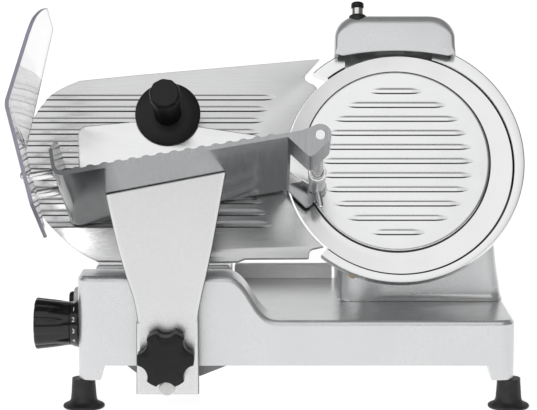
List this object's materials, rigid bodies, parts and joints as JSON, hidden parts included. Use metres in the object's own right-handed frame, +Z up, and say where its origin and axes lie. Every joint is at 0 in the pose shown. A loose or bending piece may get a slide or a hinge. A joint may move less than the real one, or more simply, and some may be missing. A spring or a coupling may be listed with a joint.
{
  "type": "meat slicer",
  "caption": "Electric gravity-feed meat slicer: tilted round blade with guard ring and sharpener, gauge plate with dial, sliding canted tray with pusher and clear hand guard.",
  "frame": {"origin": "centre of the footprint box, on the surface the rubber feet stand on", "axes": "+X along the base from the thickness dial to the blade end, +Y from the user side to the back, +Z up"},
  "size_m": [0.4884, 0.3792, 0.3798],
  "materials": {
    "paint": "satin silver paint on cast aluminium",
    "polished_aluminium": "polished and anodised",
    "blade_steel": "ground and polished",
    "steel": "turned",
    "cast_pulley": "turned",
    "motor_grey": "matt",
    "black_plastic": "moulded, satin",
    "bezel": "satin",
    "rubber": "matt",
    "brass": "plain",
    "stone": "bonded abrasive",
    "nylon": "plain",
    "acrylic": "clear sheet, polished edges"
  },
  "bodies": {
    "base": {"base_casting": "paint", "gauge_box": "paint", "deck_lip": "paint", "bottom_plate": "steel", "foot_front_left": "rubber", "foot_front_right": "rubber", "foot_rear_left": "rubber", "foot_rear_right": "rubber", "carriage_rod": "steel", "guide_bar": "steel", "blade_column": "paint", "motor_housing": "paint", "switch_bezel": "bezel", "cable_gland": "black_plastic", "gauge_rail": "steel", "motor": "motor_grey", "drive_belt": "rubber", "bearing_front": "steel", "bearing_rear": "steel", "blade_cover": "polished_aluminium", "cover_rod": "steel", "blade_guard_ring": "polished_aluminium", "ring_standoff_left": "brass", "ring_standoff_right": "brass", "sharpener_housing": "paint"},
    "blade_rotor": {"blade": "blade_steel", "blade_shaft": "steel", "blade_pulley": "cast_pulley"},
    "motor_rotor": {"motor_shaft": "steel", "motor_pulley": "steel"},
    "gauge": {"gauge_plate": "polished_aluminium", "gauge_bracket": "paint"},
    "dial": {"thickness_knob": "black_plastic", "dial_ring": "black_plastic", "dial_shaft": "steel", "dial_cam": "steel"},
    "carriage": {"slide_block": "paint", "slide_bush_left": "brass", "slide_bush_right": "brass", "carriage_arm": "paint", "locating_peg": "steel", "tray": "polished_aluminium", "pusher_rod": "steel", "hand_guard": "acrylic", "guard_post_front": "steel", "guard_post_rear": "steel"},
    "clamp": {"star_knob": "black_plastic"},
    "pusher_sleeve": {"pusher_bush": "nylon"},
    "pusher": {"pusher_plate": "polished_aluminium", "pusher_disc": "black_plastic", "pusher_handle": "black_plastic"},
    "plunger": {"stone_yoke": "steel", "button_stem": "steel", "button_cap": "black_plastic"},
    "front_wheel": {"stone_front": "stone"},
    "back_wheel": {"stone_back": "stone"},
    "switch": {"power_button": "black_plastic"},
    "cover_draw": {"cover_knob": "black_plastic"}
  },
  "joints": [
    {"name": "blade_spin", "type": "hinge", "parent": "base", "child": "blade_rotor", "pos_m": [0.12174, 0.01037, 0.2247], "axis": [0, -0.9205, 0.3907], "continuous": true},
    {"name": "motor_spin", "type": "hinge", "parent": "base", "child": "motor_rotor", "pos_m": [0.16674, 0.03156, 0.17225], "axis": [0, -0.9205, 0.3907], "continuous": true},
    {"name": "carriage_slide", "type": "slide", "parent": "base", "child": "carriage", "axis": [1, 0, 0], "range_m": [0, 0.23]},
    {"name": "clamp_turn", "type": "hinge", "parent": "carriage", "child": "clamp", "pos_m": [-0.10056, -0.10163, 0.0583], "axis": [0, -1, 0], "range_deg": [0, 360]},
    {"name": "pusher_slide", "type": "slide", "parent": "carriage", "child": "pusher_sleeve", "axis": [0, -0.9205, 0.3907], "range_m": [0, 0.074]},
    {"name": "pusher_swing", "type": "hinge", "parent": "pusher_sleeve", "child": "pusher", "pos_m": [0.04043, -0.03182, 0.2149], "axis": [0, 0.9205, -0.3907], "range_deg": [0, 110]},
    {"name": "gauge_slide", "type": "slide", "parent": "base", "child": "gauge", "axis": [0, 0.9205, -0.3907], "range_m": [0, 0.012]},
    {"name": "dial_turn", "type": "hinge", "parent": "base", "child": "dial", "pos_m": [-0.18576, -0.04763, 0.078], "axis": [1, 0, 0], "range_deg": [0, 300.01]},
    {"name": "sharpener_press", "type": "slide", "parent": "base", "child": "plunger", "axis": [0, -0.3907, -0.9205], "range_m": [0, 0.006], "stiffness_N_per_m": 300, "springref_m": -0.012},
    {"name": "front_stone_spin", "type": "hinge", "parent": "plunger", "child": "front_wheel", "pos_m": [0.09174, 0.05486, 0.34487], "axis": [0, -0.9205, 0.3907], "continuous": true},
    {"name": "back_stone_spin", "type": "hinge", "parent": "plunger", "child": "back_wheel", "pos_m": [0.13374, 0.068, 0.34255], "axis": [0, -0.9205, 0.3907], "continuous": true},
    {"name": "power_press", "type": "slide", "parent": "base", "child": "switch", "axis": [1, 0, 0], "range_m": [0, 0.003], "stiffness_N_per_m": 400, "springref_m": -0.002},
    {"name": "cover_knob_turn", "type": "hinge", "parent": "base", "child": "cover_draw", "pos_m": [0.12174, 0.17606, 0.15437], "axis": [0, -0.9205, 0.3907], "range_deg": [0, 360]}
  ],
  "couplings": [
    {"joint": "motor_spin", "follows": "blade_spin", "ratio": 3.8},
    {"joint": "dial_turn", "follows": "gauge_slide", "rad_per_m": 436.33}
  ]
}
